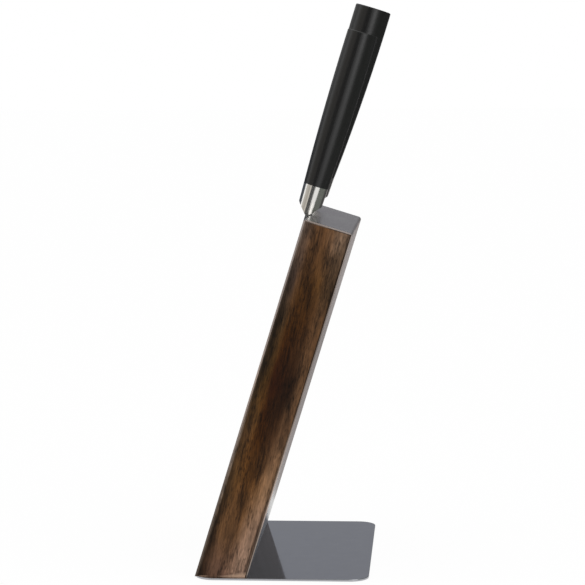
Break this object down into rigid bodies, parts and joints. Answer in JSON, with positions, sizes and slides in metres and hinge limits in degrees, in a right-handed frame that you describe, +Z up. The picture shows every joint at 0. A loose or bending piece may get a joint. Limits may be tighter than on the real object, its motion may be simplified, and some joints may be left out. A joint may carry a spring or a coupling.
{
  "type": "magnetic knife block with knives",
  "caption": "Leaning walnut and steel knife block on a flat steel base, with kitchen knives held flat on its front face by hidden magnets.",
  "frame": {"origin": "on the table, under the middle of the base plate's underside pad", "axes": "+Z up; the knife face looks towards -Y and the block leans towards +Y; +X runs across the block, to the right when the knives are faced along +Y"},
  "size_m": [0.169, 0.118, 0.3541],
  "materials": {
    "pad_rubber": "matte",
    "base_steel": "polished",
    "jacket_steel": "polished",
    "fastener_steel": "plain",
    "insert_brass": "plain",
    "walnut": "oiled",
    "keeper_steel": "plain",
    "magnet_nickel": "nickel plated",
    "blade_steel": "satin",
    "ferrule_steel": "polished",
    "handle_black": "satin"
  },
  "bodies": {
    "block": {"base_pad": "pad_rubber", "base_plate": "base_steel", "base_screws": "fastener_steel", "threaded_inserts": "insert_brass", "walnut_core": "walnut", "steel_jacket": "jacket_steel", "upper_keeper": "keeper_steel", "lower_keeper": "keeper_steel", "upper_magnet_1": "magnet_nickel", "upper_magnet_2": "magnet_nickel", "upper_magnet_3": "magnet_nickel", "upper_magnet_4": "magnet_nickel", "upper_magnet_5": "magnet_nickel", "lower_magnet_1": "magnet_nickel", "lower_magnet_2": "magnet_nickel", "lower_magnet_3": "magnet_nickel", "lower_magnet_4": "magnet_nickel", "lower_magnet_5": "magnet_nickel"},
    "chef_knife": {"chef_blade": "blade_steel", "chef_ferrule": "ferrule_steel", "chef_handle": "handle_black"},
    "utility_knife": {"utility_blade": "blade_steel", "utility_ferrule": "ferrule_steel", "utility_handle": "handle_black"}
  },
  "joints": [
    {"name": "chef_knife_lift_off", "type": "slide", "parent": "block", "child": "chef_knife", "axis": [0, -0.955, 0.2965], "range_m": [0, 0.12]},
    {"name": "utility_knife_lift_off", "type": "slide", "parent": "block", "child": "utility_knife", "axis": [0, -0.955, 0.2965], "range_m": [0, 0.12]}
  ]
}
